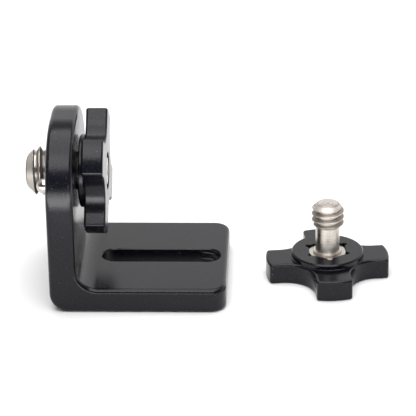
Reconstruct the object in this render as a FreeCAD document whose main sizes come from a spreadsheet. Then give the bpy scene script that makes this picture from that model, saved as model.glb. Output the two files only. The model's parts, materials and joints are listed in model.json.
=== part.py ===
"""L-bracket with two captive thumbscrews, for rigging lights and cameras.

Row frame: the origin is on the underside of the base, at the middle of its slot.
+X runs along the base away from the leg, +Y across the bracket, +Z up.
All lengths are millimetres and live in the spreadsheet "Dimensions".
"""
import FreeCAD, Part
import math
import os

import Sketcher

os.makedirs("parts", exist_ok=True)

V = FreeCAD.Vector
doc = FreeCAD.newDocument("SwivelBracket")

# ------------------------------------------------------------------ dimensions
TABLE = [
    # L-bracket
    ("leg_to_origin", 20.85, "outer face of the leg to the slot's middle"),
    ("base_end", 13.2, "slot's middle to the free end of the base"),
    ("bracket_width", 31.2, "width of the leg and of the base"),
    ("leg_thick", 5.2, "leg thickness"),
    ("base_thick", 4.8, "base thickness"),
    ("leg_height", 34.9, "underside to the top of the leg"),
    ("heel_radius", 3.6, "outside corner between leg and base"),
    ("root_fillet", 4.2, "inside corner between leg and base"),
    ("arch_radius", 13.4, "rounded shoulders of the leg"),
    ("plan_radius", 3.1, "corners of the free end of the base"),
    ("edge_radius", 0.9, "rounding along every outside edge"),
    ("slot_centres", 17.8, "distance between the slot's end centres"),
    ("slot_half", 2.83, "half the width of the slot"),
    ("slot_break", 0.22, "edge break round the slot"),
    ("quarter_major", 3.175, "major radius of the 1/4-20 thread"),
    ("quarter_pitch", 1.27, "pitch of the 1/4-20 thread"),
    ("axis_height", 23.07, "underside to the swivel axis"),
    ("tapped_radius", 3.97, "minor radius of the 3/8-16 hole in the leg"),
    ("tapped_break", 0.55, "countersink of the 3/8-16 hole"),
    ("locator_offset", 7.35, "locating pin to the swivel axis"),
    ("locator_radius", 1.55, "locating pin radius"),
    ("locator_depth", 3.6, "length of the pin inside the leg"),
    ("locator_reach", 2.4, "length of the pin outside the leg"),
    # star knob, the same for both thumbscrews
    ("knob_radius", 12.2, "radius over the lobes"),
    ("knob_body", 4.2, "thickness of the lobes"),
    ("knob_total", 5.3, "thickness at the boss"),
    ("lobe_half", 3.5, "half the width of a lobe"),
    ("scallop_radius", 5.75, "radius of the hollow between lobes"),
    ("lobe_corner", 0.55, "upright corners of the lobes"),
    ("knob_soften", 0.45, "rounding of the knob's edges"),
    ("boss_radius", 7.12, "radius of the boss"),
    ("boss_break", 0.25, "chamfer on the boss"),
    ("boss_foot", 0.12, "cove at the foot of the boss"),
    ("hex_half", 3.675, "half the width across flats of the recess"),
    ("hex_depth", 1.9, "depth of the hexagonal recess"),
    ("relief_radius", 0.55, "relief holes at the recess corners"),
    ("relief_circle", 4.15, "radius of the circle the reliefs sit on"),
    ("cbore_radius", 3.7, "counterbore in the face of the knob"),
    ("cbore_depth", 2.6, "depth of the counterbore"),
    ("web_hole", 1.7, "radius of the hole through the web"),
    # studs
    ("stud_hex_half", 3.6, "half the width across flats of the stud's base"),
    ("stud_hex_high", 1.55, "height of the stud's hexagonal base"),
    ("stud_hex_crown", 3.62, "radius where the crown chamfer starts"),
    ("slot_stud_collar", 2.85, "collar radius, 1/4-20 stud"),
    ("slot_stud_neck", 2.375, "neck radius, 1/4-20 stud"),
    ("slot_stud_shank", 5.5, "boss face to the first thread, 1/4-20 stud"),
    ("slot_stud_long", 10.15, "boss face to the tip, 1/4-20 stud"),
    ("slot_stud_lead", 1.05, "chamfer at the tip, 1/4-20 stud"),
    ("swivel_major", 4.7625, "major radius of the 3/8-16 thread"),
    ("swivel_stud_collar", 3.5, "collar radius, 3/8-16 stud"),
    ("swivel_stud_neck", 3.9, "neck radius, 3/8-16 stud"),
    ("swivel_stud_shank", 6.5, "boss face to the first thread, 3/8-16 stud"),
    ("swivel_stud_long", 10.55, "boss face to the tip, 3/8-16 stud"),
    ("swivel_stud_lead", 1.9, "chamfer at the tip, 3/8-16 stud"),
    ("stud_bore", 1.55, "radius of the bore for the retaining screw"),
    ("stud_bore_depth", 5.2, "depth of that bore from the base"),
    # retaining screw and washer
    ("screw_radius", 1.5, "M3 thread radius"),
    ("screw_length", 6.0, "length under the head"),
    ("head_radius", 2.75, "head radius"),
    ("head_high", 2.0, "head height"),
    ("head_break", 0.2, "chamfer on the head"),
    ("socket_half", 1.0, "half the width across flats of the socket"),
    ("socket_depth", 1.2, "depth of the socket"),
    ("washer_radius", 3.5, "washer outside radius"),
    ("washer_hole", 1.6, "washer hole radius"),
    ("washer_thick", 0.5, "washer thickness"),
    ("washer_break", 0.1, "washer edge break"),
    # where the thumbscrews are
    ("boss_gap", 0.3, "boss face of the swivel knob to the leg"),
    ("swivel_turn", 36.6, "turn of the swivel knob about its axis, degrees"),
    ("loose_x", 32.87, "loose thumbscrew, along the base"),
    ("loose_y", 1.6, "loose thumbscrew, across the base"),
    ("loose_turn", 6.5, "turn of the loose thumbscrew, degrees"),
]

sheet = doc.addObject("Spreadsheet::Sheet", "Dimensions")
for row, (alias, value, note) in enumerate(TABLE, start=1):
    sheet.set("A%d" % row, note)
    sheet.set("B%d" % row, str(value))
    sheet.setAlias("B%d" % row, alias)
doc.recompute()


# ------------------------------------------------------------- bound quantities
class Size:
    """A length that knows its value and the sheet expression it comes from."""

    def __init__(self, value, text):
        self.value = value
        self.text = text

    def _join(self, other, sign, value):
        return Size(value, "(%s %s %s)" % (self.text, sign, size(other).text))

    def __add__(self, other):
        return self._join(other, "+", self.value + size(other).value)

    def __sub__(self, other):
        return self._join(other, "-", self.value - size(other).value)

    def __mul__(self, other):
        return self._join(other, "*", self.value * size(other).value)

    def __truediv__(self, other):
        return self._join(other, "/", self.value / size(other).value)

    def __neg__(self):
        return Size(-self.value, "(0 - %s)" % self.text)


def size(item):
    """A cell by its alias, a plain number, or a Size as it is."""
    if isinstance(item, Size):
        return item
    if isinstance(item, str):
        return Size(float(sheet.get(item)), "Dimensions.%s" % item)
    return Size(float(item), repr(float(item)))


def bind(obj, prop, item):
    """Set a property from the sheet and keep it bound to its cells."""
    quantity = size(item)
    setattr(obj, prop, quantity.value)
    obj.setExpression(prop, quantity.text)


# ------------------------------------------------------------- sketch helpers
def plane(body, role):
    return [f for f in body.Origin.OriginFeatures if f.Role == role][0]


def new_body(label):
    body = doc.addObject("PartDesign::Body", label)
    body.Label = label
    return body


def new_sketch(body, name, role, offset=None):
    """Sketch on an origin plane; offset is (x, y, z) in the plane's own axes."""
    sketch = body.newObject("Sketcher::SketchObject", name)
    sketch.AttachmentSupport = [(plane(body, role), "")]
    sketch.MapMode = "FlatFace"
    if offset:
        values = [size(item) for item in offset]
        shift = V(*[item.value for item in values])
        sketch.AttachmentOffset = FreeCAD.Placement(shift, FreeCAD.Rotation())
        for letter, item in zip("xyz", values):
            sketch.setExpression(".AttachmentOffset.Base.%s" % letter, item.text)
    return sketch


def dimension(sketch, constraint, name, quantity):
    index = sketch.addConstraint(constraint)
    sketch.renameConstraint(index, name)
    sketch.setExpression("Constraints.%s" % name, quantity.text)


def pin_point(sketch, geo, pos, x, y, name):
    """Fix a sketch point at (x, y), each bound to the sheet."""
    x, y = size(x), size(y)
    on_x = abs(y.value) < 1e-9
    on_y = abs(x.value) < 1e-9
    if on_x and on_y:
        sketch.addConstraint(Sketcher.Constraint("Coincident", geo, pos, -1, 1))
        return
    if on_y:
        sketch.addConstraint(Sketcher.Constraint("PointOnObject", geo, pos, -2))
    else:
        dimension(sketch, Sketcher.Constraint("DistanceX", -1, 1, geo, pos, x.value), name + "x", x)
    if on_x:
        sketch.addConstraint(Sketcher.Constraint("PointOnObject", geo, pos, -1))
    else:
        dimension(sketch, Sketcher.Constraint("DistanceY", -1, 1, geo, pos, y.value), name + "y", y)


def circle(sketch, x, y, radius, name="c"):
    x, y, radius = size(x), size(y), size(radius)
    centre = V(x.value, y.value, 0)
    geo = sketch.addGeometry(Part.Circle(centre, V(0, 0, 1), radius.value), False)
    pin_point(sketch, geo, 3, x, y, name)
    dimension(sketch, Sketcher.Constraint("Radius", geo, radius.value), name + "r", radius)


def profile(sketch, points, arcs=None, name="p"):
    """Closed outline through points; arcs maps a segment to (centre, radius, turn).

    turn is +1 for an arc that runs anticlockwise from its first point, -1 for
    one that runs clockwise. The arc's centre follows from its ends and radius.
    """
    arcs = arcs or {}
    points = [(size(x), size(y)) for x, y in points]
    count = len(points)
    ends = []
    for i in range(count):
        start = V(points[i][0].value, points[i][1].value, 0)
        j = (i + 1) % count
        stop = V(points[j][0].value, points[j][1].value, 0)
        if i not in arcs:
            geo = sketch.addGeometry(Part.LineSegment(start, stop), False)
            ends.append((geo, 1, 2))
            continue
        (cx, cy), radius, turn = arcs[i]
        centre = V(size(cx).value, size(cy).value, 0)
        first = math.atan2(start.y - centre.y, start.x - centre.x)
        last = math.atan2(stop.y - centre.y, stop.x - centre.x)
        if turn < 0:
            first, last = last, first
        if last < first:
            last += 2 * math.pi
        ring = Part.Circle(centre, V(0, 0, 1), size(radius).value)
        geo = sketch.addGeometry(Part.ArcOfCircle(ring, first, last), False)
        ends.append((geo, 1, 2) if turn > 0 else (geo, 2, 1))
    for i in range(count):
        geo, _, tail = ends[i]
        after, head, _ = ends[(i + 1) % count]
        sketch.addConstraint(Sketcher.Constraint("Coincident", geo, tail, after, head))
    for i in range(count):
        geo, head, _ = ends[i]
        pin_point(sketch, geo, head, points[i][0], points[i][1], "%s%d" % (name, i))
    for i, ((cx, _), radius, _) in arcs.items():
        quantity = size(radius)
        rise = points[i][1].value - points[(i + 1) % count][1].value
        geo = ends[i][0]
        if abs(abs(rise) - 2 * quantity.value) < 1e-6:
            # a half circle on an upright chord: its centre decides it, not its radius
            middle = size(cx)
            limit = Sketcher.Constraint("DistanceX", -1, 1, geo, 3, middle.value)
            dimension(sketch, limit, "%s%dm" % (name, i), middle)
        else:
            limit = Sketcher.Constraint("Radius", geo, quantity.value)
            dimension(sketch, limit, "%s%dr" % (name, i), quantity)


def hexagon(sketch, half_flat, name="h"):
    """Hexagon about the sketch origin with two flats square to the sketch's x."""
    half = size(half_flat)
    corner = half * (2 / math.sqrt(3))
    points = []
    for i in range(6):
        angle = math.radians(30 + 60 * i)
        points.append((corner * math.cos(angle), corner * math.sin(angle)))
    profile(sketch, points, name=name)


# ------------------------------------------------------------ feature helpers
def grow(body, name, sketch, length, symmetric=False, flip=False):
    pad = body.newObject("PartDesign::Pad", name)
    pad.Profile = sketch
    bind(pad, "Length", length)
    pad.Midplane = symmetric
    pad.Reversed = flip
    doc.recompute()
    return pad


def cut(body, name, sketch, length=None, flip=False):
    """Pocket to a depth, or through everything both ways when length is None."""
    before = body.Shape.Volume
    pocket = body.newObject("PartDesign::Pocket", name)
    pocket.Profile = sketch
    if length is None:
        pocket.Type = "ThroughAll"
        pocket.Midplane = True
    else:
        bind(pocket, "Length", length)
        pocket.Reversed = flip
    doc.recompute()
    check_cut(pocket, before)
    return pocket


def check_cut(feature, before):
    if not feature.Shape.Volume < before - 1e-4:
        raise RuntimeError("%s removes nothing" % feature.Name)


def spin(body, name, sketch, remove=False):
    """Revolve a sketch a full turn about its upright axis."""
    before = body.Shape.Volume if body.Tip else 0
    kind = "PartDesign::Groove" if remove else "PartDesign::Revolution"
    turned = body.newObject(kind, name)
    turned.Profile = sketch
    turned.ReferenceAxis = (sketch, ["V_Axis"])
    turned.Angle = 360
    doc.recompute()
    if remove:
        check_cut(turned, before)
    return turned


def soften(body, name, base, edges, amount, rounded=True):
    kind = "PartDesign::Fillet" if rounded else "PartDesign::Chamfer"
    feature = body.newObject(kind, name)
    feature.Base = (base, ["Edge%d" % i for i in edges])
    bind(feature, "Radius" if rounded else "Size", amount)
    doc.recompute()
    return feature


def edges_where(shape, test):
    return [i for i, edge in enumerate(shape.Edges, start=1) if test(edge)]


def span(edge):
    box = edge.BoundBox
    return box.XLength, box.YLength, box.ZLength


def normal_at(face, point):
    u, v = face.Surface.parameter(point)
    return face.normalAt(u, v)


def sharp_edges(shape):
    """Edges whose two faces meet at a real angle, not tangentially."""
    found = []
    for i, edge in enumerate(shape.Edges, start=1):
        faces = shape.ancestorsOfType(edge, Part.Face)
        if len(faces) != 2:
            continue
        middle = (edge.FirstParameter + edge.LastParameter) / 2
        point = edge.valueAt(middle)
        angle = normal_at(faces[0], point).getAngle(normal_at(faces[1], point))
        if math.degrees(angle) > 20:
            found.append(i)
    return found


def near(value, target, slack=1e-3):
    return abs(value - target) < slack


# ------------------------------------------------------------------- L-bracket
def make_bracket():
    body = new_body("l_bracket")
    outer = -size("leg_to_origin")
    inner = outer + "leg_thick"
    end = size("base_end")
    base = size("base_thick")
    top = size("leg_height")
    heel = size("heel_radius")
    root = size("root_fillet")
    half = size("bracket_width") / 2

    side = new_sketch(body, "SideProfile", "XZ_Plane")
    points = [
        (outer + heel, 0), (end, 0), (end, base), (inner + root, base),
        (inner, base + root), (inner, top), (outer, top), (outer, heel),
    ]
    arcs = {
        3: ((inner + root, base + root), root, -1),
        7: ((outer + heel, heel), heel, 1),
    }
    profile(side, points, arcs)
    solid = grow(body, "AngleBar", side, "bracket_width", symmetric=True)

    def shoulder(edge):
        x, y, z = span(edge)
        return x > 1 and y < 1e-6 and z < 1e-6 and near(edge.BoundBox.ZMax, top.value)

    solid = soften(body, "LegArch", solid, edges_where(solid.Shape, shoulder), "arch_radius")

    def corner(edge):
        x, y, z = span(edge)
        return z > 1 and x < 1e-6 and y < 1e-6 and near(edge.BoundBox.XMax, end.value)

    solid = soften(body, "PlanCorners", solid, edges_where(solid.Shape, corner), "plan_radius")
    solid = soften(body, "RoundedEdges", solid, sharp_edges(solid.Shape), "edge_radius")

    # slot with a threaded end, through which a 1/4-20 stud is screwed in
    reach = size("slot_centres") / 2
    wide = size("slot_half")
    slot = new_sketch(body, "SlotOutline", "XY_Plane")
    ring = {0: ((-reach, 0), wide, 1), 2: ((reach, 0), wide, 1)}
    profile(slot, [(-reach, wide), (-reach, -wide), (reach, -wide), (reach, wide)], ring)
    solid = cut(body, "Slot", slot)

    def slot_rim(edge):
        box = edge.BoundBox
        level = box.ZLength < 1e-6 and (near(box.ZMax, 0) or near(box.ZMax, base.value))
        inside = max(abs(box.YMin), abs(box.YMax)) < wide.value + 0.01
        return level and inside and max(abs(box.XMin), abs(box.XMax)) < reach.value + wide.value + 0.01

    solid = soften(body, "SlotBreak", solid, edges_where(solid.Shape, slot_rim), "slot_break", rounded=False)

    # 3/8-16 hole of the swivel stud, with countersunk mouths
    hole = new_sketch(body, "SwivelHole", "YZ_Plane")
    circle(hole, 0, "axis_height", "tapped_radius")
    solid = cut(body, "SwivelBore", hole)

    def mouth(edge):
        curve = edge.Curve
        return isinstance(curve, Part.Circle) and near(curve.Radius, size("tapped_radius").value)

    solid = soften(body, "BoreMouths", solid, edges_where(solid.Shape, mouth), "tapped_break", rounded=False)

    # blind hole for the locating pin, from the outer face inwards
    blind = new_sketch(body, "LocatorHole", "YZ_Plane", (0, 0, outer))
    circle(blind, -size("locator_offset"), "axis_height", "locator_radius")
    solid = cut(body, "LocatorBore", blind, "locator_depth", flip=True)

    # 1/4-20 thread in the end of the slot
    thread = new_sketch(body, "ThreadTooth", "XZ_Plane", (reach, 0, 0))
    pitch = size("quarter_pitch")
    crest = size("quarter_major")
    foot = wide - 0.25
    points = [
        (foot, -pitch * 1.45), (foot, -pitch * 0.55),
        (crest, -pitch * 0.93), (crest, -pitch * 1.07),
    ]
    profile(thread, points)
    before = solid.Shape.Volume
    helix = body.newObject("PartDesign::SubtractiveHelix", "SlotThread")
    helix.Profile = thread
    helix.ReferenceAxis = (thread, ["V_Axis"])
    helix.Mode = 0
    bind(helix, "Pitch", pitch)
    bind(helix, "Height", pitch * 6)
    doc.recompute()
    check_cut(helix, before)
    return body


# ------------------------------------------------------------------------ pin
def make_locator():
    """Pressed-in pin; z = 0 is the leg's outer face, the rounded end points up."""
    body = new_body("locating_pin")
    radius = size("locator_radius")
    reach = size("locator_reach")
    deep = size("locator_depth")
    lead = 0.25
    half = new_sketch(body, "PinHalf", "XZ_Plane")
    points = [
        (0, -deep), (radius - lead, -deep), (radius, -deep + lead),
        (radius, reach - radius), (0, reach),
    ]
    profile(half, points, {3: ((0, reach - radius), radius, 1)})
    spin(body, "Pin", half)
    return body


# ----------------------------------------------------------------- thumbscrews
def make_knob(label):
    """Star knob, gripping face down at z = 0 and boss up."""
    body = new_body(label)
    radius = size("knob_radius")
    thick = size("knob_body")
    total = size("knob_total")

    disc = new_sketch(body, "Disc", "XY_Plane")
    circle(disc, 0, 0, radius)
    blank = grow(body, "Blank", disc, thick)

    # one hollow between two lobes, then all four
    side = size("lobe_half")
    tool = size("scallop_radius")
    mid = side + tool
    out = radius + 2
    hollow = new_sketch(body, "Hollow", "XY_Plane")
    points = [(out, side), (out, out), (side, out), (side, mid), (mid, side)]
    profile(hollow, points, {3: ((mid, mid), tool, 1)})
    first = cut(body, "Scallop", hollow)
    scallops = body.newObject("PartDesign::PolarPattern", "Scallops")
    scallops.Originals = [first]
    scallops.Axis = (disc, ["N_Axis"])
    scallops.Angle = 360
    scallops.Occurrences = 4
    body.Tip = scallops
    doc.recompute()

    def upright(edge):
        x, y, z = span(edge)
        point = edge.valueAt(edge.FirstParameter)
        return z > 1 and x < 1e-6 and y < 1e-6 and math.hypot(point.x, point.y) > radius.value - 0.01

    solid = soften(body, "LobeCorners", scallops, edges_where(scallops.Shape, upright), "lobe_corner")

    def rim(edge):
        box = edge.BoundBox
        return box.ZLength < 1e-6

    solid = soften(body, "SoftEdges", solid, edges_where(solid.Shape, rim), "knob_soften")

    # boss that bears on the bracket
    boss = size("boss_radius")
    brk = size("boss_break")
    cove = size("boss_foot")
    half = new_sketch(body, "BossHalf", "XZ_Plane")
    points = [
        (0, thick / 2), (boss + cove, thick / 2), (boss + cove, thick),
        (boss, thick + cove), (boss, total - brk), (boss - brk, total), (0, total),
    ]
    arcs = {2: ((boss + cove, thick + cove), cove, -1)}
    profile(half, points, arcs)
    spin(body, "Boss", half)

    # hexagonal recess with relief holes in its corners
    recess = new_sketch(body, "RecessOutline", "XY_Plane", (0, 0, total))
    hexagon(recess, "hex_half")
    cut(body, "HexRecess", recess, "hex_depth")
    relief = new_sketch(body, "ReliefOutline", "XY_Plane", (0, 0, total))
    start = math.radians(30)
    far = size("relief_circle")
    circle(relief, far * math.cos(start), far * math.sin(start), "relief_radius")
    single = cut(body, "Relief", relief, "hex_depth")
    reliefs = body.newObject("PartDesign::PolarPattern", "Reliefs")
    reliefs.Originals = [single]
    reliefs.Axis = (disc, ["N_Axis"])
    reliefs.Angle = 360
    reliefs.Occurrences = 6
    body.Tip = reliefs
    doc.recompute()

    # counterbore and hole for the retaining screw, from the gripping face
    cbore = new_sketch(body, "Counterbore", "XY_Plane")
    circle(cbore, 0, 0, "cbore_radius")
    cut(body, "CounterboreCut", cbore, "cbore_depth", flip=True)
    web = new_sketch(body, "WebHole", "XY_Plane")
    circle(web, 0, 0, "web_hole")
    cut(body, "WebHoleCut", web)
    return body


def make_stud(label, prefix, major):
    """Threaded stud; z = 0 is the boss face of the knob, the thread points up."""
    body = new_body(label)
    deep = size("hex_depth")
    crown = -deep + "stud_hex_high"
    collar = size(prefix + "_collar")
    neck = size(prefix + "_neck")
    shank = size(prefix + "_shank")
    tip = size(prefix + "_long")
    lead = size(prefix + "_lead")
    major = size(major)

    foot = new_sketch(body, "HexOutline", "XY_Plane", (0, 0, -deep))
    hexagon(foot, "stud_hex_half")
    grow(body, "HexBase", foot, "stud_hex_high")

    # crown chamfer on the corners of the hexagonal base
    begin = size("stud_hex_crown")
    wide = begin + 1.2
    chamfer = new_sketch(body, "CrownChamfer", "XZ_Plane")
    profile(chamfer, [(begin, crown), (wide, crown - 0.7), (wide, crown + 0.2), (begin, crown + 0.2)])
    spin(body, "Crown", chamfer, remove=True)

    # collar, neck and thread in one turning
    step = 0.25
    turning = new_sketch(body, "ShankHalf", "XZ_Plane")
    points = [(0, crown - 0.5), (collar, crown - 0.5)]
    if collar.value > neck.value:
        points += [(collar, crown + 0.3), (collar - 0.15, crown + 0.45), (neck, crown + 0.45)]
    else:
        points += [(collar, crown + 0.45), (neck, crown + 0.65)]
    points += [
        (neck, shank - step), (neck + 0.05, shank - step), (major - 0.55, shank - 0.05), (major, shank + 0.35),
        (major, tip - lead * 0.9), (major - lead, tip), (0, tip),
    ]
    profile(turning, points)
    spin(body, "Shank", turning)

    # bore for the retaining screw, from below
    bore = new_sketch(body, "BoreOutline", "XY_Plane", (0, 0, -deep))
    circle(bore, 0, 0, "stud_bore")
    cut(body, "Bore", bore, "stud_bore_depth", flip=True)
    return body


def make_washer(label):
    """Flat washer; z = 0 is the face against the knob's web, below it the rest."""
    body = new_body(label)
    outside = size("washer_radius")
    hole = size("washer_hole")
    low = -size("washer_thick")
    brk = size("washer_break")
    ring = new_sketch(body, "WasherHalf", "XZ_Plane")
    points = [
        (hole, 0), (outside - brk, 0), (outside, -brk),
        (outside, low + brk), (outside - brk, low), (hole, low),
    ]
    profile(ring, points)
    spin(body, "Washer", ring)
    return body


def make_screw(label):
    """Low-head socket screw; z = 0 is the underside of the head, thread up."""
    body = new_body(label)
    radius = size("screw_radius")
    length = size("screw_length")
    head = size("head_radius")
    low = -size("head_high")
    brk = size("head_break")
    turning = new_sketch(body, "ScrewHalf", "XZ_Plane")
    points = [
        (0, low), (head - brk, low), (head, low + brk), (head, 0),
        (radius, 0), (radius, length - 0.4), (radius - 0.4, length), (0, length),
    ]
    profile(turning, points)
    spin(body, "Turning", turning)
    socket = new_sketch(body, "SocketOutline", "XY_Plane", (0, 0, low))
    hexagon(socket, "socket_half")
    cut(body, "Socket", socket, "socket_depth", flip=True)
    return body


# -------------------------------------------------------------------- assembly
def place(body, frame, lift):
    """Put a piece at a height along the axis of its thumbscrew."""
    body.Placement = frame.multiply(FreeCAD.Placement(V(0, 0, size(lift).value), FreeCAD.Rotation()))


def thumbscrew(prefix, frame, stud_prefix, major):
    """Knob, stud, washer and retaining screw; frame has z = 0 at the gripping face."""
    place(make_knob(prefix + "_knob"), frame, 0)
    place(make_stud(prefix + "_stud", stud_prefix, major), frame, "knob_total")
    place(make_washer(prefix + "_washer"), frame, "cbore_depth")
    place(make_screw(prefix + "_retaining_screw"), frame, size("cbore_depth") - "washer_thick")


make_bracket()

# the pin points out of the leg's outer face, along -X
outer_face = -size("leg_to_origin").value
axis_z = size("axis_height").value
to_minus_x = FreeCAD.Rotation(V(0, 1, 0), -90)
locator = make_locator()
locator.Placement = FreeCAD.Placement(V(outer_face, -size("locator_offset").value, axis_z), to_minus_x)

# swivel thumbscrew: boss towards the leg, stud through it, lobes turned as stored
face_x = outer_face + size("leg_thick").value + size("boss_gap").value + size("knob_total").value
about_axis = FreeCAD.Rotation(V(0, 0, 1), size("swivel_turn").value)
swivel_frame = FreeCAD.Placement(V(face_x, 0, axis_z), to_minus_x.multiply(about_axis))
thumbscrew("swivel", swivel_frame, "swivel_stud", "swivel_major")

# loose thumbscrew: stands on its gripping face beside the base
loose_at = V(size("loose_x").value, size("loose_y").value, 0)
loose_frame = FreeCAD.Placement(loose_at, FreeCAD.Rotation(V(0, 0, 1), size("loose_turn").value))
thumbscrew("slot", loose_frame, "slot_stud", "quarter_major")

doc.recompute()

# ---------------------------------------------------------------- check, write
for obj in doc.Objects:
    if "Invalid" in obj.State or "Error" in obj.State:
        raise RuntimeError("%s failed: %s" % (obj.Name, obj.State))

bodies = [obj for obj in doc.Objects if obj.TypeId == "PartDesign::Body"]
for body in bodies:
    shape = body.Shape
    if shape.isNull() or not shape.isValid() or len(shape.Solids) != 1:
        raise RuntimeError("%s has no single valid solid" % body.Label)

for body in bodies:
    body.Shape.exportStep("parts/%s.step" % body.Label)
    box = body.Shape.BoundBox
    low = (box.XMin, box.YMin, box.ZMin)
    high = (box.XMax, box.YMax, box.ZMax)
    print("%-24s volume %9.2f  low %s  high %s" % (
        body.Label, body.Shape.Volume,
        " ".join("%7.2f" % value for value in low),
        " ".join("%7.2f" % value for value in high)))
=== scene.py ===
"""L bracket with two star-knob thumbscrews: the looks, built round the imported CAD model.

Everything is in metres, in the CAD model's own frame: +X along the base, +Z up.
"""
import json
import math

import bmesh
import bpy
from mathutils import Matrix, Vector


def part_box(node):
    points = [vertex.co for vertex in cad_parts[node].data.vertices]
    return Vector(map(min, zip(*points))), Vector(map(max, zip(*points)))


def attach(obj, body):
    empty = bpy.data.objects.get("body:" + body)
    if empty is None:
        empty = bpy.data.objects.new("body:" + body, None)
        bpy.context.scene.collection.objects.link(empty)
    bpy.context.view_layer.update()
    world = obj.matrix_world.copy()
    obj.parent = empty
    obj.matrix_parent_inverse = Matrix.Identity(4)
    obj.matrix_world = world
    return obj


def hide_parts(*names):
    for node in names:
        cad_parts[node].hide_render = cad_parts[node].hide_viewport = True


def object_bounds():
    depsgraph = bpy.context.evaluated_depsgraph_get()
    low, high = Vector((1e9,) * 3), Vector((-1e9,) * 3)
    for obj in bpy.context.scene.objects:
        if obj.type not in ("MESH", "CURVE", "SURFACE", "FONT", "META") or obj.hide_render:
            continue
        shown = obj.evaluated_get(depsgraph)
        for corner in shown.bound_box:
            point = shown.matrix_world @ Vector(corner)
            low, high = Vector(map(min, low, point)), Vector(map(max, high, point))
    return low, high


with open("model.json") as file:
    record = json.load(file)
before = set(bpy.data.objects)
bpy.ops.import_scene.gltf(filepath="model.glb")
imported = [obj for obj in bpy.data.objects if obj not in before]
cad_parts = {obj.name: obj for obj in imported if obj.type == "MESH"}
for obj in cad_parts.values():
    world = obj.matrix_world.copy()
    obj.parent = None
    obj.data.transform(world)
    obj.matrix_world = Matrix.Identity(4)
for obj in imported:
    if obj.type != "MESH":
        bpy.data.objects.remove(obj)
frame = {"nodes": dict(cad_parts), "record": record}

MM = 0.001
cad_low, cad_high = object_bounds()
mounts = {mount["name"]: mount for mount in frame["record"]["mounts"]}


# ------------------------------------------------------------------ camera
def add_camera():
    """Long lens, looking down at the bracket's long side."""
    azimuth, elevation, roll = (math.radians(angle) for angle in (2.3, 25.04, -0.84))
    distance = 443.1 * MM
    off_centre = Vector((-0.21, 0.0, -2.38)) * MM
    aim = (cad_low + cad_high) / 2 + off_centre

    back = Vector((
        math.sin(azimuth) * math.cos(elevation),
        -math.cos(azimuth) * math.cos(elevation),
        math.sin(elevation),
    ))
    right = Vector((math.cos(azimuth), math.sin(azimuth), 0.0))
    turn = Matrix.Rotation(roll, 3, back)
    right = turn @ right
    up = back.cross(right)
    facing = Matrix((right, up, back)).transposed().to_4x4()

    data = bpy.data.cameras.new("studio_camera")
    data.sensor_width = 36.0
    data.lens = 195.6
    data.clip_start = 0.02
    data.clip_end = 20.0
    camera = bpy.data.objects.new("studio_camera", data)
    camera.matrix_world = Matrix.Translation(aim + back * distance) @ facing
    bpy.context.scene.collection.objects.link(camera)
    bpy.context.scene.camera = camera


# ------------------------------------------------------------------ nodes
class Shader:
    """A material's node tree, with one short call for each node."""

    def __init__(self, name):
        self.material = bpy.data.materials.new(name)
        self.material.use_nodes = True
        self.tree = self.material.node_tree
        self.surface = self.tree.nodes["Principled BSDF"]

    def node(self, kind, inputs=(), **settings):
        made = self.tree.nodes.new(kind)
        for key, value in settings.items():
            setattr(made, key, value)
        for key, value in dict(inputs).items():
            self.feed(made.inputs[key], value)
        return made

    def feed(self, socket, value):
        if isinstance(value, bpy.types.NodeSocket):
            self.tree.links.new(value, socket)
        else:
            socket.default_value = value

    def set(self, **values):
        """Sets the surface's sockets; an underscore stands for a space."""
        for key, value in values.items():
            self.feed(self.surface.inputs[key.replace("_", " ")], value)

    def math(self, operation, first, second=0.0, third=0.0):
        made = self.node("ShaderNodeMath", {0: first, 1: second, 2: third}, operation=operation)
        return made.outputs[0]

    def place(self):
        """Position on the piece, in metres from its own origin."""
        return self.node("ShaderNodeTexCoord").outputs["Object"]

    def noise(self, size, detail=2.0, roughness=0.5):
        """Noise whose blobs are about this size, in metres."""
        made = self.node(
            "ShaderNodeTexNoise",
            {"Vector": self.place(), "Scale": 1 / size, "Detail": detail, "Roughness": roughness},
        )
        return made.outputs["Fac"]

    def ramp(self, value, low, high, start=0.0, end=1.0):
        """Takes low..high to start..end, held flat outside."""
        made = self.node(
            "ShaderNodeMapRange",
            {"Value": value, "From Min": low, "From Max": high, "To Min": start, "To Max": end},
            interpolation_type="SMOOTHSTEP",
        )
        return made.outputs["Result"]

    def mix(self, amount, first, second):
        made = self.node("ShaderNodeMix", data_type="RGBA")
        self.feed(made.inputs[0], amount)
        self.feed(made.inputs[6], first)
        self.feed(made.inputs[7], second)
        return made.outputs[2]

    def bump(self, height, distance, normal=None):
        """Height 0..1 stands for this many metres."""
        inputs = {"Height": height, "Distance": distance, "Strength": 1.0}
        if normal:
            inputs["Normal"] = normal
        return self.node("ShaderNodeBump", inputs).outputs["Normal"]

    def rounded(self, radius):
        """Normal of the surface as if its edges had this radius."""
        return self.node("ShaderNodeBevel", {"Radius": radius}, samples=6).outputs["Normal"]

    def edges(self, radius):
        """1 near an edge, 0 on flat ground, from how far a rounded edge would lean."""
        true = self.node("ShaderNodeNewGeometry").outputs["Normal"]
        both = {0: self.rounded(radius), 1: true}
        lean = self.node("ShaderNodeVectorMath", both, operation="DOT_PRODUCT").outputs["Value"]
        return self.ramp(lean, 0.998, 0.93)


def grey(value, warm=0.0):
    """A grey, leaning warm (positive) or cool (negative)."""
    return (value * (1 + warm), value, value * (1 - warm), 1.0)


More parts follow.
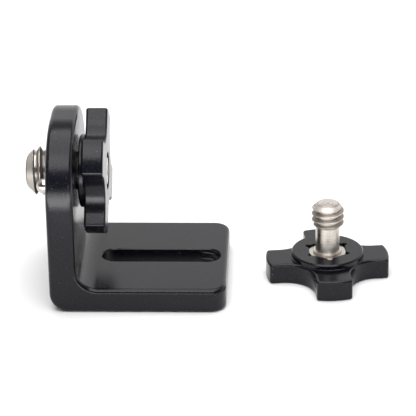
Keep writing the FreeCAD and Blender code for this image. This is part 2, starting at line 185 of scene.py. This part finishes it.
# ------------------------------------------------------------------ materials
def anodised(name, tone):
    """Black anodising over bead-blasted aluminium, with dust, rubbed edges and painted glint specks."""
    look = Shader(name)
    grain = look.noise(0.22 * MM, detail=2.0, roughness=0.6)
    painted_glint = look.ramp(look.noise(0.26 * MM, detail=1.0), 0.50, 0.75)
    cloud = look.noise(6.0 * MM, detail=4.0)
    worn = look.ramp(look.noise(0.9 * MM, detail=5.0), 0.46, 0.72)
    rub = look.math("MULTIPLY", look.edges(0.18 * MM), worn)
    dust = look.ramp(look.noise(0.30 * MM, detail=0.0), 0.80, 0.86)

    deep_blue_black = (tone * 0.8, tone * 0.8, tone * 1.7, 1.0)
    pale_blue_black = (tone * 1.2, tone * 1.2, tone * 2.5, 1.0)
    colour = look.mix(cloud, deep_blue_black, pale_blue_black)
    # painted highlight: small lighter specks stand for the blasted facets glinting
    colour = look.mix(look.math("MULTIPLY", painted_glint, 0.45), colour, grey(0.022))
    colour = look.mix(look.math("MULTIPLY", rub, 0.45), colour, grey(0.05))
    colour = look.mix(look.math("MULTIPLY", dust, 0.30), colour, grey(0.20))

    gloss = look.ramp(cloud, 0.3, 0.7, 0.16, 0.19)
    gloss = look.math("MULTIPLY_ADD", grain, 0.05, gloss)
    blast = look.bump(grain, 0.013 * MM, normal=look.rounded(0.09 * MM))
    look.set(Base_Color=colour, Roughness=gloss, Normal=blast, IOR=1.35)
    return look.material


def turned(name, tone, gloss, marks, thread=None, shaded_share=0.36):
    """Lathe-turned stainless steel, marked round the piece's own Z (on a CAD node, the model's Z).

    thread says where grooves get painted shade: below a crest radius, between two heights, and how much.
    The last argument is the share of the steel's lightness that this painted shade leaves.
    """
    look = Shader(name)
    parts = look.node("ShaderNodeSeparateXYZ", {0: look.place()})
    flat = look.node("ShaderNodeCombineXYZ", {0: parts.outputs[0], 1: parts.outputs[1]})
    reach = look.node("ShaderNodeVectorMath", {0: flat.outputs[0]}, operation="LENGTH").outputs["Value"]
    height = parts.outputs[2]
    along = look.math("ADD", reach, height)
    lathe = look.node(
        "ShaderNodeTexNoise",
        {"W": along, "Scale": 1 / (0.20 * MM), "Detail": 3.0},
        noise_dimensions="1D",
    ).outputs["Fac"]
    cloud = look.noise(1.2 * MM, detail=5.0, roughness=0.65)
    grit = look.noise(0.22 * MM, detail=3.0, roughness=0.7)

    # thread flanks were cut rougher, and are painted darker: painted shade on sloped flanks and in the
    # thread's grooves
    true = look.node("ShaderNodeNewGeometry").outputs["Normal"]
    own = look.node(
        "ShaderNodeVectorTransform", {0: true},
        vector_type="NORMAL", convert_from="WORLD", convert_to="OBJECT",
    )
    upward = look.node("ShaderNodeSeparateXYZ", {0: own.outputs[0]}).outputs[2]
    lean = look.math("ABSOLUTE", upward)
    flank = look.math("MULTIPLY", look.ramp(lean, 0.76, 0.84), look.ramp(lean, 0.96, 0.91))
    if thread:
        crest, low, high = thread["crest"], thread["low"], thread["high"]
        inside = look.ramp(reach, crest - 0.08 * MM, crest - 0.42 * MM)
        inside = look.math("MULTIPLY", inside, look.ramp(height, low, low + 0.3 * MM))
        inside = look.math("MULTIPLY", inside, look.ramp(height, high, high - 0.2 * MM))
        flank = look.math("MAXIMUM", flank, look.math("MULTIPLY", inside, thread["groove_shade"]))
    painted_shade_and_rough = look.math("MULTIPLY", flank, look.ramp(grit, 0.30, 0.70, 0.6, 1.0))

    colour = look.mix(look.ramp(cloud, 0.35, 0.65), grey(tone * 0.92, 0.09), grey(tone * 1.06, 0.07))
    colour = look.mix(look.ramp(lathe, 0.62, 0.38), colour, grey(tone * 0.74, 0.08))
    # painted shade: sloped flanks and a thread's grooves are painted darker and warmer
    colour = look.mix(painted_shade_and_rough, colour, grey(tone * shaded_share, 0.12))
    soft = look.math("MULTIPLY_ADD", lathe, 0.10, gloss)
    soft = look.math("MULTIPLY_ADD", cloud, 0.08, soft)
    sloped = look.math("MULTIPLY", look.ramp(lean, 0.30, 0.55), look.ramp(lean, 0.97, 0.90))
    soft = look.math("MULTIPLY_ADD", sloped, 0.25, soft)
    soft = look.math("MULTIPLY_ADD", painted_shade_and_rough, 0.12, soft)
    relief = look.math("MULTIPLY_ADD", grit, 0.5, lathe)
    groove = look.node("ShaderNodeTangent", direction_type="RADIAL", axis="Z").outputs["Tangent"]
    look.set(
        Base_Color=colour, Metallic=1.0, Roughness=soft, Tangent=groove,
        Anisotropic=0.6, Anisotropic_Rotation=0.25,
        Normal=look.bump(relief, marks, normal=look.rounded(0.04 * MM)),
    )
    return look.material


def polished(name):
    """Mirror-polished steel with faint hairlines and smears."""
    look = Shader(name)
    smear = look.noise(0.8 * MM, detail=4.0)
    hair = look.noise(0.07 * MM, detail=1.0)
    look.set(
        Base_Color=look.mix(smear, grey(0.48, 0.08), grey(0.58, 0.08)),
        Metallic=1.0,
        Roughness=look.ramp(smear, 0.3, 0.7, 0.12, 0.20),
        Normal=look.bump(hair, 0.0008 * MM),
    )
    return look.material


# ------------------------------------------------------------------ turned pieces
SECTORS = 144                   # steps round a turned piece
ROWS_PER_TURN = 24              # steps along one pitch of a thread
UNIFIED_DEPTH = 0.6134          # depth of a unified thread, as a share of its pitch
RUN_OUT = 0.30 * MM             # how far below the shank's end the run-out starts
WELD = 0.0004 * MM              # points nearer than this become one
SHARP = math.radians(28)        # edges that turn by more than this stay sharp
TO_MINUS_X = Matrix.Rotation(math.radians(-90), 4, "Y")


def add_rings(mesh, rings, cap_first=False, cap_last=False):
    """Adds a skin through rings, each a list of (radius, height) pairs, one for each sector."""
    rows = []
    for ring in rings:
        row = []
        for step, (radius, height) in enumerate(ring):
            angle = 2 * math.pi * step / SECTORS
            row.append(mesh.verts.new((radius * math.cos(angle), radius * math.sin(angle), height)))
        rows.append(row)
    for below, above in zip(rows, rows[1:]):
        for step in range(SECTORS):
            after = (step + 1) % SECTORS
            mesh.faces.new((below[step], below[after], above[after], above[step]))
    if cap_first:
        mesh.faces.new(list(reversed(rows[0])))
    if cap_last:
        mesh.faces.new(rows[-1])


def finish_mesh(name, mesh, material, matrix):
    """Welds, shades and places a bmesh as an object."""
    bmesh.ops.remove_doubles(mesh, verts=mesh.verts, dist=WELD)
    bmesh.ops.dissolve_degenerate(mesh, edges=mesh.edges, dist=WELD)
    bmesh.ops.recalc_face_normals(mesh, faces=mesh.faces)
    data = bpy.data.meshes.new(name)
    mesh.to_mesh(data)
    mesh.free()
    data.shade_smooth()
    data.set_sharp_from_angle(angle=SHARP)
    data.materials.append(material)
    piece = bpy.data.objects.new(name, data)
    piece.matrix_world = matrix
    bpy.context.scene.collection.objects.link(piece)
    return piece


def circle(radius, height):
    """Round ring, as (radius, height) for each sector."""
    return [(radius, height)] * SECTORS


def hexagon(half, height, limit=None):
    """Hexagon by its distance to the flats, cut to a round limit at its corners."""
    ring = []
    for step in range(SECTORS):
        lean = math.radians((360 * step / SECTORS + 30) % 60 - 30)
        radius = half / math.cos(lean)
        ring.append((min(radius, limit) if limit else radius, height))
    return ring


def thread_rings(mesh, low, high, pitch, phase, form, limit):
    """Adds a right-handed helical thread between two heights.

    Rows follow the helix, so crests and roots stay crisp; past either end they fold onto its circle.
    form gives the radius at a fraction of the pitch, and limit the most that it may be at a height.
    """
    first = -ROWS_PER_TURN
    last = math.ceil((high - low) / pitch * ROWS_PER_TURN)
    rows = []
    for index in range(first, last + 1):
        row = []
        for step in range(SECTORS):
            angle = 2 * math.pi * step / SECTORS
            height = low + pitch * (index / ROWS_PER_TURN + step / SECTORS)
            height = max(low, min(high, height))
            radius = min(form((index / ROWS_PER_TURN + phase) % 1.0), limit(height))
            if height in (low, high):
                radius = limit(height)
            row.append(mesh.verts.new((radius * math.cos(angle), radius * math.sin(angle), height)))
        rows.append(row)
    for index, below in enumerate(rows[:-1]):
        above = rows[index + 1]
        for step in range(SECTORS - 1):
            mesh.faces.new((below[step], below[step + 1], above[step + 1], above[step]))
        # across the seam a row goes on as the one a whole turn higher
        if index + 1 + ROWS_PER_TURN < len(rows):
            far_below, far_above = rows[index + ROWS_PER_TURN], rows[index + 1 + ROWS_PER_TURN]
            mesh.faces.new((below[-1], far_below[0], far_above[0], above[-1]))


def unified_form(major, pitch, root):
    """Radius of a 60-degree thread at a fraction of its pitch: flat crest, flanks, flat root."""
    half_crest = 0.05
    slope = pitch / math.tan(math.radians(30))

    def form(fraction):
        away = min(fraction, 1 - fraction)
        return max(root, major - max(0.0, away - half_crest) * slope)

    return form


def add_stud(name, node, body, matrix, sizes, material):
    """Threaded stud with a hexagonal base; its origin is on the knob's boss face, thread up."""
    base = -sizes["hex_depth"]
    crown = base + sizes["hex_high"]
    hex_half, neck, collar = sizes["hex_half"], sizes["neck"], sizes["collar"]
    shank, tip, lead = sizes["shank"], sizes["tip"], sizes["lead"]
    major, pitch, bore = sizes["major"], sizes["pitch"], sizes["bore"]
    root = max(major - UNIFIED_DEPTH * pitch, neck + 0.02 * MM)
    start = shank - RUN_OUT
    soft = 0.06 * MM
    dimple = 0.22 * MM

    if collar > neck:
        shoulder = [circle(collar, crown), circle(collar, 0.02 * MM), circle(collar - soft, 0.10 * MM)]
        shoulder += [circle(neck + soft, 0.10 * MM), circle(neck, 0.10 * MM + soft)]
    else:
        shoulder = [circle(collar, crown), circle(collar, 0.10 * MM), circle(neck, 0.30 * MM)]

    below = [circle(bore, base + sizes["bore_depth"]), circle(bore, base)]
    below += [hexagon(hex_half - soft, base), hexagon(hex_half, base + soft)]
    below += [hexagon(hex_half, crown - 0.30 * MM), hexagon(hex_half, crown, limit=hex_half + 0.02 * MM)]
    below += shoulder + [circle(neck, start)]

    def limit(height):
        """Most that the radius may be: it grows from the neck, and falls again towards the tip."""
        rise = neck + max(0.0, height - start - 0.10 * MM) * 1.1
        depth = tip - height
        fall = major - lead + depth / sizes["lead_slope"]
        blunt = sizes["nose"] * max(0.0, 1 - depth / sizes["nose_depth"]) ** 2
        return min(major, rise, fall - blunt)

    mesh = bmesh.new()
    add_rings(mesh, below, cap_first=True)
    thread_rings(mesh, start, tip, pitch, sizes["phase"], unified_form(major, pitch, root), limit)
    above = [circle(limit(tip), tip), circle(dimple, tip), circle(0.03 * MM, tip - dimple * 0.6)]
    add_rings(mesh, above, cap_last=True)
    piece = finish_mesh(name, mesh, material, matrix)
    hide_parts(node)
    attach(piece, body)


def add_pin(name, node, body, material):
    """Locating pin with a round end, turned about its own Z, which points out of the leg."""
    low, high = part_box(node)
    radius = (high.y - low.y) / 2
    reach = high.x - low.x
    lead = 0.25 * MM
    rings = [circle(radius - lead, 0.0), circle(radius, lead)]
    domed = 24
    for step in range(domed):
        lean = math.pi / 2 * step / domed
        rings.append(circle(radius * math.cos(lean), reach - radius + radius * math.sin(lean)))
    rings.append(circle(0.01 * MM, reach))
    mesh = bmesh.new()
    add_rings(mesh, rings, cap_first=True, cap_last=True)
    place = Matrix.Translation((high.x, (low.y + high.y) / 2, (low.z + high.z) / 2)) @ TO_MINUS_X
    piece = finish_mesh(name, mesh, material, place)
    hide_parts(node)
    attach(piece, body)


def thread_steel(name, sizes, tone, groove_shade, shaded_share):
    """Turned steel with painted shade in the thread's grooves."""
    bevel = sizes["lead"] * sizes["lead_slope"]
    thread = {
        "crest": sizes["major"],
        "low": sizes["shank"],
        "high": sizes["tip"] - bevel,
        "groove_shade": groove_shade,
    }
    return turned(name, tone, 0.22, 0.004 * MM, thread, shaded_share)


def add_studs():
    """The two studs, each where its CAD node is."""
    common = {
        "hex_half": 3.6 * MM, "hex_depth": 1.9 * MM, "hex_high": 1.55 * MM,
        "bore": 1.55 * MM, "bore_depth": 5.2 * MM,
    }
    swivel = {
        **common,
        "major": 4.7625 * MM, "pitch": 25.4 / 16 * MM, "neck": 3.9 * MM, "collar": 3.5 * MM,
        "shank": 6.5 * MM, "tip": 10.55 * MM, "lead": 1.9 * MM, "lead_slope": 1.05,
        "nose": 0.60 * MM, "nose_depth": 0.45 * MM, "phase": 0.86,
    }
    quarter = {
        **common,
        "major": 3.175 * MM, "pitch": 25.4 / 20 * MM, "neck": 2.375 * MM, "collar": 2.85 * MM,
        "shank": 5.5 * MM, "tip": 10.15 * MM, "lead": 1.05 * MM, "lead_slope": 0.95,
        "nose": 0.10 * MM, "nose_depth": 0.12 * MM, "phase": 0.28,
    }
    low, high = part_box("swivel_stud")
    axis = mounts["swivel_screw"]["pos_m"]
    place = Matrix.Translation((low.x + swivel["tip"], axis[1], axis[2])) @ TO_MINUS_X
    place = place @ Matrix.Rotation(math.radians(36.6), 4, "Z")
    # painted shade: the swivel stud gets a darker copy of the steel, with more painted shade in its
    # grooves, for the dim surroundings it mirrors
    steel = thread_steel("turned_steel_swivel_shaded_copy", swivel, tone=0.47, groove_shade=1.0, shaded_share=0.22)
    add_stud("swivel_stud_threaded", "swivel_stud", "swivel_thumbscrew", place, swivel, steel)

    low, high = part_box("slot_stud")
    axis = mounts["slot_screw"]["pos_m"]
    place = Matrix.Translation((axis[0], axis[1], high.z - quarter["tip"]))
    place = place @ Matrix.Rotation(math.radians(6.5), 4, "Z")
    # painted light: the loose stud gets a lighter copy of the same steel, with less painted shade in its
    # grooves
    steel = thread_steel("turned_steel_quarter_lit_copy", quarter, tone=0.66, groove_shade=0.4, shaded_share=0.48)
    add_stud("slot_stud_threaded", "slot_stud", "loose_thumbscrew", place, quarter, steel)


# ------------------------------------------------------------------ CAD pieces
def dress(node, material):
    """Gives a CAD node's object this material alone."""
    data = frame["nodes"][node].data
    data.materials.clear()
    data.materials.append(material)


def dress_cad_nodes():
    """The black pieces and the plain steel ones keep their CAD shapes."""
    bracket = anodised("anodised_bracket", 0.0026)
    knob = anodised("anodised_knob", 0.0025)
    fastener = turned("fastener_steel", 0.5, 0.24, 0.0015 * MM)
    dress("l_bracket", bracket)
    for side in ("swivel", "slot"):
        dress(side + "_knob", knob)
        dress(side + "_washer", fastener)
        dress(side + "_retaining_screw", fastener)


# ------------------------------------------------------------------ studio
def add_floor():
    """Pale sheet that the object stands on."""
    look = Shader("pale_sheet")
    look.set(Base_Color=(0.94, 0.94, 0.94, 1.0), Roughness=0.9, Specular_IOR_Level=0.1)
    half = 4.0
    data = bpy.data.meshes.new("pale_sheet")
    corners = [(-half, -half, 0), (half, -half, 0), (half, half, 0), (-half, half, 0)]
    data.from_pydata(corners, [], [(0, 1, 2, 3)])
    data.materials.append(look.material)
    floor = bpy.data.objects.new("pale_sheet", data)
    bpy.context.scene.collection.objects.link(floor)


def add_softbox(name, centre, aim, size, radiance):
    """Rectangular light of a given brightness; a white wall lit to 1 renders as pure white."""
    data = bpy.data.lights.new(name, "AREA")
    data.shape = "RECTANGLE"
    data.size, data.size_y = size
    data.energy = radiance * math.pi * size[0] * size[1]
    light = bpy.data.objects.new(name, data)
    light.location = centre
    light.rotation_euler = (Vector(aim) - Vector(centre)).to_track_quat("-Z", "Y").to_euler()
    bpy.context.scene.collection.objects.link(light)


def add_surround():
    """White backdrop low down behind, dimmer above it and to the left, and a dark room in front."""
    world = bpy.data.worlds.new("studio")
    bpy.context.scene.world = world
    world.use_nodes = True
    tree = world.node_tree
    tree.nodes["Background"].inputs["Color"].default_value = (1.0, 1.0, 1.0, 1.0)

    def blend(value, low, high, start, end):
        made = tree.nodes.new("ShaderNodeMapRange")
        made.interpolation_type = "SMOOTHSTEP"
        tree.links.new(value, made.inputs["Value"])
        for key, number in (("From Min", low), ("From Max", high)):
            made.inputs[key].default_value = number
        for key, number in (("To Min", start), ("To Max", end)):
            if isinstance(number, bpy.types.NodeSocket):
                tree.links.new(number, made.inputs[key])
            else:
                made.inputs[key].default_value = number
        return made.outputs["Result"]

    where = tree.nodes.new("ShaderNodeTexCoord")
    parts = tree.nodes.new("ShaderNodeSeparateXYZ")
    tree.links.new(where.outputs["Generated"], parts.inputs[0])
    backdrop = blend(parts.outputs["Z"], 0.42, 0.62, 1.2, 0.5)
    backdrop = blend(parts.outputs["X"], -0.75, -0.25, 0.55, backdrop)
    brightness = blend(parts.outputs["Y"], -0.45, 0.30, 0.08, backdrop)
    tree.links.new(brightness, tree.nodes["Background"].inputs["Strength"])


def add_studio():
    """Soft light from overhead and above the camera, and a lit table and its edge in front."""
    add_surround()
    softboxes = (
        # name, centre, point it faces, size, radiance
        ("overhead", (0.0, 0.10, 0.70), (0.0, 0.10, 0.0), (0.70, 0.65), 2.9),
        ("front_top", (0.0, -0.412, 0.686), (0.0, 0.0, 0.0), (0.70, 0.37), 4.2),
        ("front_low", (0.0, -0.2625, 0.003), (0.0, -0.2625, 1.0), (0.60, 0.375), 7.5),
        ("front_edge", (0.0, -0.46, 0.040), (0.0, 0.0, 0.040), (0.60, 0.075), 5.5),
    )
    for softbox in softboxes:
        add_softbox(*softbox)
    bpy.context.scene.view_settings.view_transform = "Standard"


dress_cad_nodes()
add_studs()
add_pin("locating_pin_polished", "locating_pin", "bracket", polished("polished_steel"))
add_camera()
add_floor()
add_studio()
